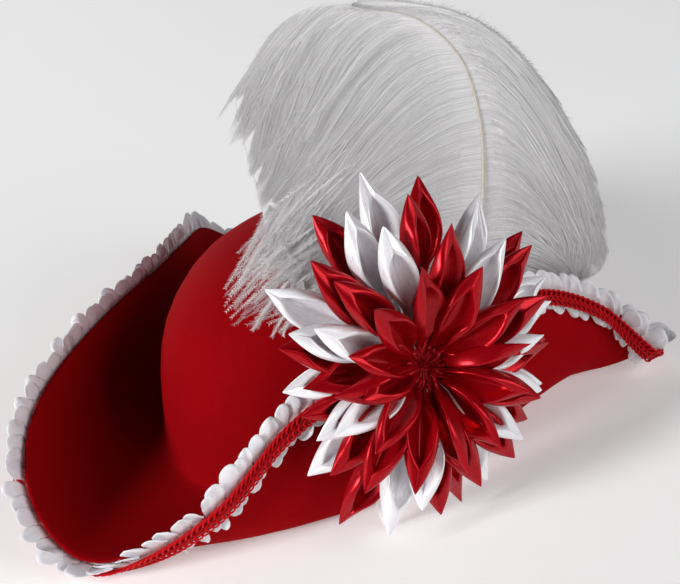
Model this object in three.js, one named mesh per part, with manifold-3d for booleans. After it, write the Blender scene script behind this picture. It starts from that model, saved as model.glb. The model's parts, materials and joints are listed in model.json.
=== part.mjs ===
// Red felt tricorn hat with a ruched ribbon edge, gimp braid, a ribbon flower and a plume.
// Millimetres, +Z up. The front point faces -Y, and the flower is on the wearer's left, +X.
// Shapes are laid out about the middle of the head opening, on the surface that the hat rests on.
import * as THREE from "three";
import { mergeVertices } from "three/addons/utils/BufferGeometryUtils.js";
import Module from "manifold-3d";

// Felt body: crown and brim are blocked from one piece of felt
const FELT = 2.4;
const HEAD_LENGTH = 197;
const HEAD_WIDTH = 169;
const CROWN_HEIGHT = 115;
const CROWN_FULLNESS = 2.5; // power of the crown's superellipse profile
const HEADLINE_RADIUS = 6; // round at the foot of the crown
const REST_RING = 8; // flat felt between that round and the turn of the brim
const FLAP_STRAIGHTNESS = 0.3; // how soon above its fold a flap runs straight to its edge
const CROWN_STEPS = 6;
const FLAP_STEPS = 6;
const STEPS_PER_SECTION = 3;

// Sections of the cocked brim, anticlockwise from the front point. Angles are in plan, in degrees.
// Each section leaves the headline at head, turns up at its fold and ends at its edge.
const BRIM_SECTIONS = table(
  ["head", "foldAt", "foldRadius", "edgeAt", "edgeRadius", "edgeHeight"],
  [
    [-90, -90, 150, -91, 186, 11], // front point
    [-76, -79, 146, -82, 170, 21], // left flap, which carries the flower
    [-63, -67, 139, -70, 147, 42],
    [-50, -54, 129, -57, 117, 68],
    [-36, -39, 118, -41, 104, 83],
    [-20, -22, 113, -22, 100, 88],
    [-1, 0, 116, 2, 106, 88],
    [14, 17, 128, 22, 120, 84],
    [25, 29, 147, 32, 141, 70],
    [32, 35, 160, 36, 165, 51],
    [36.8, 38, 165, 37.9, 193, 17], // left rear point
    [40, 40.2, 165, 40.4, 193, 16],
    [44, 43, 160, 43, 167, 28], // rear flap
    [53, 49, 146, 48, 146, 42],
    [67, 63, 131, 62, 127, 63],
    [93, 92, 124, 91, 114, 82],
    [116, 117, 130, 115, 124, 72],
    [132, 132, 142, 130, 143, 48],
    [142, 142, 150, 140, 166, 22],
    [149, 150, 154, 148.5, 180, 10], // right rear point
    [157, 157, 152, 155, 181, 27], // right flap
    [168, 166, 144, 164, 149, 43],
    [183, 185, 134, 188, 115, 59],
    [204, 208, 131, 214, 121, 63],
    [224, 229, 139, 232, 142, 63],
    [238, 243, 150, 245, 168, 57],
    [250, 253, 156, 254, 186, 39],
    [260, 262, 155, 262, 191, 21],
  ],
);

// Ruched ribbon along the edge, on the flaps' outer face, with its scallops past the felt
const GAP = 0.4;
const TRIM_GAP = 1.1; // room that the puckers take behind and in front of the ribbon
const RIBBON = 1.6;
const SCALLOP_PITCH = 13.5;
const SCALLOP_TOP = { valley: 7, crest: 11.5 }; // reach past the felt edge
const SCALLOP_FOOT = { valley: 12, crest: 17 }; // reach below the felt edge
const SCALLOP_LEAN = 1.2; // how far a crest stands out
const RIBBON_MIDDLE = 2; // line below the felt edge where the scallops start to lean

// Gimp braid along the ribbon's middle
const BRAID_TOP = 0.8;
const BRAID_FOOT = 10.2;
const BRAID = 2.2;
const BRAID_SHOULDER = 1.6;
const BRAID_STEPS_PER_SECTION = 4;

// Flower: rows of folded ribbon petals on small hubs, stacked on a backing pad
const FLOWER_AT = new THREE.Vector3(100, -34, 84); // where the flower's axis meets the flap
const FLOWER_TURN = -24; // direction the flower faces, in plan
const FLOWER_RISE = 16; // and above level
// How far the longest petals reach, in degrees anticlockwise from the top as the flower is seen
const FLOWER_OUTLINE = table(
  ["around", "reach"],
  [
    [0, 104],
    [34, 97],
    [64, 78],
    [93, 68],
    [118, 80],
    [142, 100],
    [165, 90],
    [186, 86],
    [220, 82],
    [265, 80],
    [290, 91],
    [320, 96],
    [360, 104],
  ],
);
const PAD_RADIUS = 13;
const PAD_BACK = -3;
const PAD_FRONT = 10;
const PAD_SIDES = 16;
const PETAL = 1.1;
const HUB = 1.4;
const HUB_RADIUS = 11;
const HUB_STEP = HUB + GAP;
const PETAL_ROWS = table(
  ["name", "colour", "count", "turn", "spread", "share", "width", "cup"],
  [
    ["petals_white_back", "white", 9, 0, 97, 1, 19, 3],
    ["petals_red_back", "red", 9, 20, 94, 0.97, 19, 3],
    ["petals_white_outer", "white", 8, 11, 88, 0.94, 18, 3.5],
    ["petals_red_outer", "red", 8, 33.5, 85, 0.91, 18, 3.5],
    ["petals_white_middle", "white", 7, 5, 79, 0.83, 17, 4],
    ["petals_red_middle", "red", 7, 30.7, 75, 0.8, 17, 4],
    ["petals_red_inner", "red", 12, 0, 64, 0.67, 14, 4],
  ],
);
// Stations along a petal between its hub and its tip, as shares of its length, width and cup
const PETAL_STATIONS = table(
  ["along", "width", "cup"],
  [
    [0.36, 0.6, 0.55],
    [0.68, 1, 1],
  ],
);
const CENTRE_RADIUS = 7;
const CENTRE_HEIGHT = 6;
const CENTRE_SIDES = 12;
// The gathered centre's profile, as shares of its radius and height
const CENTRE_PROFILE = table(
  ["radius", "height"],
  [
    [0, 0],
    [0.8, 0],
    [1, 0.4],
    [0.6, 0.9],
    [0, 1],
  ],
);

// Plume: a quill that rises behind the flap, with locks of barbs that droop to both sides
const QUILL_RADIUS = 1.5;
const QUILL_SIDES = 6;
const QUILL_STEPS = 14;
const QUILL_PATH = [
  new THREE.Vector3(109.8, 26, 56), // stitched to the flap's inner face
  new THREE.Vector3(106, 33, 78),
  new THREE.Vector3(92, 42, 100),
  new THREE.Vector3(88, 56, 135),
  new THREE.Vector3(82, 66, 170),
  new THREE.Vector3(70, 69, 202),
  new THREE.Vector3(53, 58, 225),
  new THREE.Vector3(32, 34, 238),
];
const PLUME_FACES = { turn: -30, rise: 18 };
const LOCKS_PER_SIDE = 15;
const LOCK_THICKNESS = 2;
const LOCK_NOTCH = 0.74; // share of the barbs' length where the locks part
const BACKING_DEPTH = 3; // locks start this far behind the quill's line
// Where the barbs end, from the quill's lowest barbs to its tip, and how far they arch above a straight line
const BARB_ENDS = {
  left: table(
    ["x", "y", "z", "arch"],
    [
      [58, -52, 98, 12],
      [28, -70, 110, 16],
      [19, -62, 130, 18],
      [4, -34, 160, 20],
      [-14, -16, 196, 18],
      [-4, 2, 224, 8],
    ],
  ),
  right: table(
    ["x", "y", "z", "arch"],
    [
      [106, 82, 60, 10],
      [133, 105, 68, 16],
      [133, 112, 98, 18],
      [116, 110, 142, 18],
      [92, 98, 188, 14],
      [42, 58, 232, 4],
    ],
  ),
};
const FIRST_BARB = 0.2; // share of the quill below the lowest barbs

const RED_FELT = { color: 0x8f0610, roughness: 0.95, metalness: 0 };
const WHITE_RIBBON = { color: 0xe6e4ec, roughness: 0.45, metalness: 0 };
const RED_RIBBON = { color: 0xc01422, roughness: 0.4, metalness: 0 };
const RED_BRAID = { color: 0xb01018, roughness: 0.6, metalness: 0 };
const WHITE_PLUME = { color: 0xc9c7c6, roughness: 0.9, metalness: 0 };
const QUILL_HORN = { color: 0xb9a184, roughness: 0.5, metalness: 0 };

// Distances of the numerical work, not of the hat
const MERGE_DISTANCE = 1e-4;
const TRIM_PROBE = 1e-4;
const LENGTH_DIVISIONS = 600;

const wasm = await Module();
wasm.setup();

// Tables and angles
function table(columns, rows) {
  return rows.map((row) => Object.fromEntries(columns.map((name, i) => [name, row[i]])));
}

function planPoint(degrees, radius, z) {
  const angle = THREE.MathUtils.degToRad(degrees);
  return new THREE.Vector3(radius * Math.cos(angle), radius * Math.sin(angle), z);
}

function facing(turn, rise) {
  const lift = THREE.MathUtils.degToRad(rise);
  return planPoint(turn, Math.cos(lift), Math.sin(lift));
}

// Solids from rings of points
function geometryOf(points, triangles) {
  const geometry = new THREE.BufferGeometry();
  geometry.setAttribute("position", new THREE.Float32BufferAttribute(points.flatMap((p) => p.toArray()), 3));
  geometry.setIndex(triangles);
  return geometry;
}

function bridge(triangles, ringA, ringB, count) {
  for (let j = 0; j < count; j += 1) {
    const next = (j + 1) % count;
    triangles.push(ringA + j, ringB + j, ringB + next);
    triangles.push(ringA + j, ringB + next, ringA + next);
  }
}

// A wall that starts at one pole, runs out through the rings and comes back to the other pole
function poledSolid(firstPole, rings, lastPole) {
  const count = rings[0].length;
  const points = [firstPole, ...rings.flat(), lastPole];
  const triangles = [];
  for (let j = 0; j < count; j += 1) {
    triangles.push(0, 1 + j, 1 + ((j + 1) % count));
  }
  for (let i = 0; i + 1 < rings.length; i += 1) {
    bridge(triangles, 1 + i * count, 1 + (i + 1) * count, count);
  }
  const lastRing = 1 + (rings.length - 1) * count;
  for (let j = 0; j < count; j += 1) {
    triangles.push(points.length - 1, lastRing + ((j + 1) % count), lastRing + j);
  }
  return geometryOf(points, triangles);
}

// A bar with the given sections, which ends in caps or closes on itself
function sweptSolid(sections, closed) {
  const count = sections[0].length;
  const triangles = [];
  const last = sections.length - 1;
  for (let i = 0; i < last; i += 1) {
    bridge(triangles, i * count, (i + 1) * count, count);
  }
  if (closed) {
    bridge(triangles, last * count, 0, count);
  } else {
    for (let j = 1; j + 1 < count; j += 1) {
      triangles.push(0, j, j + 1);
      triangles.push(last * count, last * count + j + 1, last * count + j);
    }
  }
  return geometryOf(sections.flat(), triangles);
}

// A closed wall between a front and a back sheet that share their triangles
function walledSheet(front, back, triangles) {
  const count = front.length;
  const faces = triangles.flatMap(([a, b, c]) => [
    [a, b, c],
    [count + a, count + c, count + b],
  ]);
  const edges = triangles.flatMap(([a, b, c]) => [
    [a, b],
    [b, c],
    [c, a],
  ]);
  const known = new Set(edges.map(([a, b]) => `${a} ${b}`));
  for (const [a, b] of edges) {
    if (!known.has(`${b} ${a}`)) {
      faces.push([b, a, count + a], [b, count + a, count + b]);
    }
  }
  return geometryOf([...front, ...back], faces.flat());
}

// Joins and cuts
function manifoldOf(geometry) {
  const bare = geometry.clone();
  bare.deleteAttribute("normal");
  bare.deleteAttribute("uv");
  const merged = mergeVertices(bare, MERGE_DISTANCE);
  const vertProperties = merged.attributes.position.array;
  const triVerts = new Uint32Array(merged.index.array);
  return new wasm.Manifold(new wasm.Mesh({ numProp: 3, vertProperties, triVerts }));
}

function geometryFrom(solid) {
  const mesh = solid.getMesh();
  const geometry = new THREE.BufferGeometry();
  geometry.setAttribute("position", new THREE.Float32BufferAttribute(mesh.vertProperties, 3));
  geometry.setIndex([...mesh.triVerts]);
  return geometry;
}

// The largest skin of a solid, without loose offcuts or sealed pockets
function mainSkin(solid) {
  const skins = solid.decompose();
  return skins.reduce((largest, skin) => (skin.volume() > largest.volume() ? skin : largest));
}

function node(name, geometry, finish) {
  geometry.computeVertexNormals();
  const mesh = new THREE.Mesh(geometry, new THREE.MeshStandardMaterial(finish));
  mesh.name = name;
  return mesh;
}

// Felt body
function headRadius(angle) {
  const across = Math.cos(angle) / (HEAD_WIDTH / 2);
  const along = Math.sin(angle) / (HEAD_LENGTH / 2);
  return 1 / Math.hypot(across, along);
}

function closedCurve(points) {
  const curve = new THREE.CatmullRomCurve3(points, true, "centripetal");
  curve.arcLengthDivisions = LENGTH_DIVISIONS;
  return curve;
}

const headCurve = closedCurve(
  BRIM_SECTIONS.map((row) => planPoint(row.head, headRadius(THREE.MathUtils.degToRad(row.head)), 0)),
);
const foldCurve = closedCurve(
  BRIM_SECTIONS.map((row) => planPoint(row.foldAt, row.foldRadius, FELT / 2)),
);
const edgeCurve = closedCurve(
  BRIM_SECTIONS.map((row) => planPoint(row.edgeAt, row.edgeRadius, row.edgeHeight)),
);

function headAngle(t) {
  const point = headCurve.getPoint(t);
  return Math.atan2(point.y, point.x);
}

function headPoint(t, beyond, z) {
  const angle = headAngle(t);
  const radius = headRadius(angle) + beyond;
  return new THREE.Vector3(radius * Math.cos(angle), radius * Math.sin(angle), z);
}

// A point on the middle of the felt, s of the way from the flat ring (0) to the brim's edge (1)
function flapPoint(t, s) {
  const start = headPoint(t, HEADLINE_RADIUS + REST_RING, FELT / 2);
  const fold = foldCurve.getPoint(t);
  const edge = edgeCurve.getPoint(t);
  const rise = fold.clone().lerp(edge, FLAP_STRAIGHTNESS);
  return new THREE.CubicBezierCurve3(start, fold, rise, edge).getPoint(s);
}

// Rings of the felt's middle surface from the crown's top to the brim's edge, flat ones marked
function feltRings(columns) {
  const stations = [...Array(columns).keys()].map((j) => j / columns);
  const rings = [];
  const crownFoot = FELT / 2 + HEADLINE_RADIUS;
  for (let i = 1; i <= CROWN_STEPS; i += 1) {
    const angle = (i / CROWN_STEPS) * (Math.PI / 2);
    const share = Math.sin(angle) ** (2 / CROWN_FULLNESS);
    const height = Math.max(0, Math.cos(angle)) ** (2 / CROWN_FULLNESS);
    const z = crownFoot + (CROWN_HEIGHT - FELT / 2 - crownFoot) * height;
    rings.push({ points: stations.map((t) => headPoint(t, 0, z).multiply(new THREE.Vector3(share, share, 1))) });
  }
  const half = HEADLINE_RADIUS * (1 - Math.SQRT1_2);
  rings.push({ points: stations.map((t) => headPoint(t, half, FELT / 2 + half)) });
  rings.push({ points: stations.map((t) => headPoint(t, HEADLINE_RADIUS, FELT / 2)), flat: true });
  for (let i = 0; i <= FLAP_STEPS; i += 1) {
    rings.push({ points: stations.map((t) => flapPoint(t, i / FLAP_STEPS)), flat: i === 0 });
  }
  return rings;
}

function ringNormals(rings) {
  return rings.map((ring, i) =>
    ring.points.map((point, j) => {
      if (ring.flat) {
        return new THREE.Vector3(0, 0, 1);
      }
      const count = ring.points.length;
      const inner = rings[Math.max(i - 1, 0)].points[j];
      const outer = rings[Math.min(i + 1, rings.length - 1)].points[j];
      const before = ring.points[(j + count - 1) % count];
      const after = ring.points[(j + 1) % count];
      const down = outer.clone().sub(inner);
      const round = after.clone().sub(before);
      return down.cross(round).normalize();
    }),
  );
}

function feltWall(thickness) {
  const rings = feltRings(BRIM_SECTIONS.length * STEPS_PER_SECTION);
  const normals = ringNormals(rings);
  const offset = (side) =>
    rings.map((ring, i) =>
      ring.points.map((point, j) => point.clone().addScaledVector(normals[i][j], (side * thickness) / 2)),
    );
  const top = CROWN_HEIGHT - FELT / 2;
  const outerPole = new THREE.Vector3(0, 0, top + thickness / 2);
  const innerPole = new THREE.Vector3(0, 0, top - thickness / 2);
  return poledSolid(outerPole, [...offset(1), ...offset(-1).reverse()], innerPole);
}

// Trim along the edge
// A point on the flap's outer side, so far below the felt edge and so far out of the felt's middle
function trimPoint(t, below, out) {
  const edge = flapPoint(t, 1);
  const speed = flapPoint(t, 1 - TRIM_PROBE).distanceTo(edge) / TRIM_PROBE;
  const s = Math.min(1, 1 - below / speed);
  const point = flapPoint(t, s);
  const down = flapPoint(t, s - TRIM_PROBE).sub(point);
  const round = flapPoint((t + TRIM_PROBE) % 1, s).sub(point);
  if (below < 0) {
    point.addScaledVector(down.clone().normalize(), below);
  }
  return point.addScaledVector(down.cross(round).normalize(), out);
}

const RIBBON_BACK = FELT / 2 + TRIM_GAP;
const RIBBON_FRONT = RIBBON_BACK + RIBBON;
const BRAID_BACK = RIBBON_FRONT + TRIM_GAP;

function edgeStation(share) {
  return edgeCurve.getUtoTmapping(share % 1);
}

function ribbonRuffle() {
  const scallops = Math.round(edgeCurve.getLength() / SCALLOP_PITCH);
  const sections = [];
  for (let i = 0; i < scallops * 3; i += 1) {
    const kind = i % 3 === 0 ? "valley" : "crest";
    const lean = i % 3 === 0 ? 0 : SCALLOP_LEAN;
    const t = edgeStation(i / (scallops * 3));
    sections.push([
      trimPoint(t, SCALLOP_FOOT[kind], RIBBON_BACK),
      trimPoint(t, SCALLOP_FOOT[kind], RIBBON_FRONT),
      trimPoint(t, RIBBON_MIDDLE, RIBBON_FRONT),
      trimPoint(t, -SCALLOP_TOP[kind], RIBBON_FRONT + lean),
      trimPoint(t, -SCALLOP_TOP[kind], RIBBON_BACK + lean),
      trimPoint(t, RIBBON_MIDDLE, RIBBON_BACK),
    ]);
  }
  return sweptSolid(sections, true);
}

function edgeBand(foot, top, back, front, shoulder) {
  const steps = BRIM_SECTIONS.length * BRAID_STEPS_PER_SECTION;
  const sections = [...Array(steps).keys()].map((i) => {
    const t = i / steps;
    return [
      trimPoint(t, foot, back),
      trimPoint(t, foot - shoulder, front),
      trimPoint(t, top + shoulder, front),
      trimPoint(t, top, back),
    ];
  });
  return sweptSolid(sections, true);
}

function gimpBraid() {
  return edgeBand(BRAID_FOOT, BRAID_TOP, BRAID_BACK, BRAID_BACK + BRAID, BRAID_SHOULDER);
}

// Flower, laid out on its own axis, +Z, with +Y up the flap
function petalReach(row, around) {
  const degrees = THREE.MathUtils.euclideanModulo(THREE.MathUtils.radToDeg(around), 360);
  const next = FLOWER_OUTLINE.findIndex((corner) => corner.around > degrees);
  const [a, b] = [FLOWER_OUTLINE[next - 1], FLOWER_OUTLINE[next]];
  return row.share * THREE.MathUtils.mapLinear(degrees, a.around, b.around, a.reach, b.reach);
}

function radialAt(around) {
  return new THREE.Vector3(-Math.sin(around), Math.cos(around), 0);
}

// Points of one petal: at each station a rim, the crease and the other rim, then the tip, with their backs
function petalPoints(row, around) {
  const spread = THREE.MathUtils.degToRad(row.spread);
  const radial = radialAt(around);
  const axis = new THREE.Vector3(0, 0, 1);
  const along = radial.clone().multiplyScalar(Math.sin(spread)).addScaledVector(axis, Math.cos(spread));
  const across = new THREE.Vector3().crossVectors(axis, radial);
  const open = new THREE.Vector3().crossVectors(along, across);
  const length = petalReach(row, around) - HUB_RADIUS;
  const at = (share, side, lift, depth) =>
    radial
      .clone()
      .multiplyScalar(HUB_RADIUS)
      .addScaledVector(along, length * share)
      .addScaledVector(across, (side * row.width) / 2)
      .addScaledVector(open, lift * row.cup - depth);
  const sheet = (depth) => [
    ...PETAL_STATIONS.flatMap((station) => [
      at(station.along, -station.width, station.cup, depth),
      at(station.along, 0, 0, depth),
      at(station.along, station.width, station.cup, depth),
    ]),
    at(1, 0, 0, depth),
  ];
  return { front: sheet(0), back: sheet(PETAL) };
}

// A row of petals round its hub, as one wall
function petalRow(row) {
  const pitch = (2 * Math.PI) / row.count;
  const start = THREE.MathUtils.degToRad(row.turn);
  const front = [new THREE.Vector3()];
  const back = [new THREE.Vector3(0, 0, -HUB)];
  const triangles = [];
  const perPetal = 3 + PETAL_STATIONS.length * 3;
  for (let i = 0; i < row.count; i += 1) {
    const around = start + i * pitch;
    const rim = [radialAt(around - pitch / 2), radialAt(around)].map((p) => p.multiplyScalar(HUB_RADIUS));
    const points = petalPoints(row, around);
    const valley = front.length;
    const nextValley = 1 + ((i + 1) % row.count) * perPetal;
    front.push(...rim, ...points.front);
    back.push(...rim.map((p) => p.clone().setZ(-HUB)), ...points.back);
    triangles.push([0, valley, valley + 1], [0, valley + 1, nextValley]);
    let [rimA, crease, rimB] = [valley, valley + 1, nextValley];
    PETAL_STATIONS.forEach((station, k) => {
      const [nextA, nextCrease, nextB] = [2, 3, 4].map((step) => valley + step + 3 * k);
      triangles.push([rimA, nextA, nextCrease], [rimA, nextCrease, crease]);
      triangles.push([crease, nextCrease, rimB], [nextCrease, nextB, rimB]);
      [rimA, crease, rimB] = [nextA, nextCrease, nextB];
    });
    const tip = valley + perPetal - 1;
    triangles.push([rimA, tip, crease], [crease, tip, rimB]);
  }
  return walledSheet(front, back, triangles);
}

function disc(radius, thickness, sides) {
  return new THREE.CylinderGeometry(radius, radius, thickness, sides).rotateX(Math.PI / 2);
}

function flowerCentre() {
  const profile = CENTRE_PROFILE.map(
    (row) => new THREE.Vector2(CENTRE_RADIUS * row.radius, CENTRE_HEIGHT * row.height),
  );
  return new THREE.LatheGeometry(profile, CENTRE_SIDES).rotateX(Math.PI / 2);
}

// The pad fills the space between the hubs and the flap, clear of the felt and the trim
function flowerPad(placement) {
  const blank = disc(PAD_RADIUS, PAD_FRONT - PAD_BACK, PAD_SIDES).translate(0, 0, (PAD_FRONT + PAD_BACK) / 2);
  blank.applyMatrix4(placement);
  const trimFront = BRAID_BACK + BRAID + GAP;
  const trim = edgeBand(SCALLOP_FOOT.crest + GAP, -SCALLOP_TOP.crest - GAP, 0, trimFront, 0);
  const cut = manifoldOf(blank).subtract(manifoldOf(feltWall(FELT + 2 * GAP))).subtract(manifoldOf(trim));
  return geometryFrom(mainSkin(cut)).applyMatrix4(placement.clone().invert());
}

function ribbonFlower() {
  const flower = new THREE.Group();
  flower.position.copy(FLOWER_AT);
  flower.up.set(0, 0, 1);
  flower.lookAt(FLOWER_AT.clone().add(facing(FLOWER_TURN, FLOWER_RISE)));
  flower.updateMatrix();
  flower.add(node("flower_pad", flowerPad(flower.matrix), RED_FELT));
  PETAL_ROWS.forEach((row, i) => {
    const finish = row.colour === "white" ? WHITE_RIBBON : RED_RIBBON;
    const mesh = node(row.name, petalRow(row), finish);
    mesh.position.z = PAD_FRONT + (i + 1) * HUB_STEP;
    flower.add(mesh);
  });
  const centre = node("flower_centre", flowerCentre(), RED_RIBBON);
  centre.position.z = PAD_FRONT + PETAL_ROWS.length * HUB_STEP + GAP;
  flower.add(centre);
  return flower;
}

// Plume
const quillCurve = new THREE.CatmullRomCurve3(QUILL_PATH, false, "centripetal");
const plumeFront = facing(PLUME_FACES.turn, PLUME_FACES.rise);

function quill() {
  const outline = [...Array(QUILL_SIDES).keys()].map((i) => {
    const angle = (i / QUILL_SIDES) * 2 * Math.PI;
    return new THREE.Vector2(QUILL_RADIUS * Math.cos(angle), QUILL_RADIUS * Math.sin(angle));
  });
  const settings = { steps: QUILL_STEPS, extrudePath: quillCurve, bevelEnabled: false };
  return new THREE.ExtrudeGeometry(new THREE.Shape(outline), settings);
}

// The path of the barbs that leave the quill at a share of its barbed length
function barbPath(ends, share) {
  const endCurve = new THREE.CatmullRomCurve3(ends.map((row) => new THREE.Vector3(row.x, row.y, row.z)));
  const archCurve = new THREE.SplineCurve(ends.map((row) => new THREE.Vector2(0, row.arch)));
  const root = quillCurve.getPoint(FIRST_BARB + (1 - FIRST_BARB) * share);
  const start = root.addScaledVector(plumeFront, -BACKING_DEPTH);
  const end = endCurve.getPoint(share);
  const lift = new THREE.Vector3(0, 0, 2 * archCurve.getPoint(share).y);
  return new THREE.QuadraticBezierCurve3(start, start.clone().lerp(end, 0.5).add(lift), end);
}

// One sheet of locks on both sides of the quill: each lock runs from the quill to its own tip
function plume() {
  const points = [];
  const triangles = [];
  for (let i = 0; i <= LOCKS_PER_SIDE; i += 1) {
    points.push(barbPath(BARB_ENDS.left, i / LOCKS_PER_SIDE).getPoint(0));
  }
  for (const side of ["left", "right"]) {
    const first = points.length;
    for (let i = 0; i <= LOCKS_PER_SIDE; i += 1) {
      const parting = barbPath(BARB_ENDS[side], i / LOCKS_PER_SIDE);
      const lock = barbPath(BARB_ENDS[side], Math.min(1, (i + 0.5) / LOCKS_PER_SIDE));
      points.push(parting.getPoint(LOCK_NOTCH / 2), parting.getPoint(LOCK_NOTCH), lock.getPoint(1));
    }
    for (let i = 0; i < LOCKS_PER_SIDE; i += 1) {
      const [middle, notch, tip] = [0, 1, 2].map((k) => first + i * 3 + k);
      const [nextMiddle, nextNotch] = [3, 4].map((k) => first + i * 3 + k);
      const faces = [
        [i, i + 1, nextMiddle],
        [i, nextMiddle, middle],
        [middle, nextMiddle, nextNotch],
        [middle, nextNotch, notch],
        [notch, nextNotch, tip],
      ];
      triangles.push(...(side === "left" ? faces : faces.map((face) => face.toReversed())));
    }
  }
  const used = [...new Set(triangles.flat())];
  const faces = triangles.map((face) => face.map((index) => used.indexOf(index)));
  const shifted = (depth) => used.map((index) => points[index].clone().addScaledVector(plumeFront, depth));
  return walledSheet(shifted(LOCK_THICKNESS / 2), shifted(-LOCK_THICKNESS / 2), faces);
}

// The hat, moved so that its box stands centred over the origin
const hat = new THREE.Group();
hat.add(node("felt_body", feltWall(FELT), RED_FELT));
hat.add(node("ribbon_ruffle", ribbonRuffle(), WHITE_RIBBON));
hat.add(node("gimp_braid", gimpBraid(), RED_BRAID));
hat.add(ribbonFlower());
hat.add(node("plume_quill", quill(), QUILL_HORN));
hat.add(node("plume_barbs", plume(), WHITE_PLUME));

const whole = new THREE.Group();
whole.add(hat);
const box = new THREE.Box3().setFromObject(whole, true);
const centre = box.getCenter(new THREE.Vector3());
hat.position.set(-centre.x, -centre.y, 0);

export default whole;
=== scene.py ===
import json
import math

import bmesh
import bpy
import numpy as np
from bpy.props import FloatProperty, FloatVectorProperty, IntProperty, PointerProperty
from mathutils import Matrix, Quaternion, Vector, noise


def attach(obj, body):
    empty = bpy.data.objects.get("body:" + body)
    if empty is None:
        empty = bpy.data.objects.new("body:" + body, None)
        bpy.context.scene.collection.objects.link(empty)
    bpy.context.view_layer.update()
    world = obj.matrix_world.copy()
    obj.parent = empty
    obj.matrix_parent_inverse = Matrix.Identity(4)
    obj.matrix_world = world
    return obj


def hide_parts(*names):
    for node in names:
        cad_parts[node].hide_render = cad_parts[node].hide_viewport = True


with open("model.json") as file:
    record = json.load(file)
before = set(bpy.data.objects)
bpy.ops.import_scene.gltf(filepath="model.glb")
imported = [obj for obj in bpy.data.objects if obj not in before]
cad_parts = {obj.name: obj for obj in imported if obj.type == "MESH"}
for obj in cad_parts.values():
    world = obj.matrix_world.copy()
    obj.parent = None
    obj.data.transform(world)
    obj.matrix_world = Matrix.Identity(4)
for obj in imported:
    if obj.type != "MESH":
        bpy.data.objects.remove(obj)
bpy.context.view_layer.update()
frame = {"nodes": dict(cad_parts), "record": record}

bl_info = {
    "name": "Tricorn hat",
    "version": (1, 0, 0),
    "blender": (4, 5, 0),
    "location": "3D View > Sidebar > Tricorn",
    "description": "Dresses the solids of a trimmed felt tricorn hat",
    "category": "Add Mesh",
}

MM = 0.001
TURN = 2 * math.pi
UP = np.array([0.0, 0.0, 1.0])

# Seeds of what varies by chance, and how many spreads from the mean a draw may go
SEEDS = {"felt": 1, "ruffle": 11, "flower": 5, "plume": 23}
SCALLOP_LIMIT = 1.8
PETAL_LIMIT = 1.6

# Lengths in the tables below are in millimetres about the middle of the head opening
OPENINGS = {row["name"]: np.array(row["box_m"]) for row in frame["record"]["physics"]["openings"]}
HEAD_CENTRE = OPENINGS["head_hollow_foot"].mean(axis=0) * [1, 1, 0]

FELT = 2.4
HEAD_LENGTH = 197
HEAD_WIDTH = 169
HEADLINE_RADIUS = 6
REST_RING = 8
FLAP_STRAIGHTNESS = 0.3

# The brim's sections, round from the front point: angle at the head, angle and reach
# of the fold, then angle, reach and height of the cocked edge
BRIM_COLUMNS = ("head", "fold_at", "fold_reach", "edge_at", "edge_reach", "edge_height")
BRIM_SECTIONS = [
    (-90, -90, 150, -91, 186, 11),
    (-76, -79, 146, -82, 170, 21),
    (-63, -67, 139, -70, 147, 42),
    (-50, -54, 129, -57, 117, 68),
    (-36, -39, 118, -41, 104, 83),
    (-20, -22, 113, -22, 100, 88),
    (-1, 0, 116, 2, 106, 88),
    (14, 17, 128, 22, 120, 84),
    (25, 29, 147, 32, 141, 70),
    (32, 35, 160, 36, 165, 51),
    (36.8, 38, 165, 37.9, 193, 17),
    (40, 40.2, 165, 40.4, 193, 16),
    (44, 43, 160, 43, 167, 28),
    (53, 49, 146, 48, 146, 42),
    (67, 63, 131, 62, 127, 63),
    (93, 92, 124, 91, 114, 82),
    (116, 117, 130, 115, 124, 72),
    (132, 132, 142, 130, 143, 48),
    (142, 142, 150, 140, 166, 22),
    (149, 150, 154, 148.5, 180, 10),
    (157, 157, 152, 155, 181, 27),
    (168, 166, 144, 164, 149, 43),
    (183, 185, 134, 188, 115, 59),
    (204, 208, 131, 214, 121, 63),
    (224, 229, 139, 232, 142, 63),
    (238, 243, 150, 245, 168, 57),
    (250, 253, 156, 254, 186, 39),
    (260, 262, 155, 262, 191, 21),
]

# The blocked felt: how close corners are welded in metres, how flat and how square a pair of
# triangles has to be to join, then the pitch of its waver and the heights it grows between
WELD = 1e-5
JOIN_FLAT = math.radians(50)
JOIN_SQUARE = math.radians(80)
WAVER_PITCH = 22
WAVER_HEIGHTS = (0.003, 0.02)

# Trim: depths below the felt's edge, and distances out from the felt's middle
RIBBON_OUT = 2.7
RIBBON_ROOT = 6.0
BRAID_TOP = 0.8
BRAID_FOOT = 10.2
BRAID_OUT = 5.3
# Scallops past the edge and scallops below the braid: the way they run, their fullness, and
# their shift along the edge in pitches
SCALLOP_ROWS = ((1, 1.42, 0.0), (-1, 1.26, 0.5))
SCALLOP_GRID = (8, 7)
CORNER_DEPTH = 0.55
CREASE_WIDTH = 0.24
# One scallop's mean and spread in each measure, in the order they are drawn
SCALLOP_MEASURES = np.array([
    (0, 0.14),  # shift
    (1, 0.14),  # width
    (1, 0.1),  # reach
    (1.5, 1.4),  # lean
    (0.4, 1.3),  # curl
    (0.8, 0.4),  # puff
    (1.5, 0.5),  # shingle
    (0, 0.35),  # crease
    (1.2, 0.5),  # dent
    (0, 0.12),  # point
])
# The braid's loops, by half their length and width, on a thin tape
LOOP_POINTS = 10
LOOP_LENGTH = 2.7
LOOP_WIDTH = 1.75
LOOP_SLANT = math.radians(38)
LOOP_ROW = 2.65
LOOP_LIFT = 0.45
LOOP_CROSSING = 0.5
LOOP_TILT = 0.25
CORD_SIDES = 4
DOME_HEIGHT = 0.9
DOME_WIDTH = 5.2
TAPE_STATIONS = 420
TAPE_INSET = 0.3
TAPE_DEPTH = 0.4
TAPE_THICKNESS = 0.5

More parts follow.
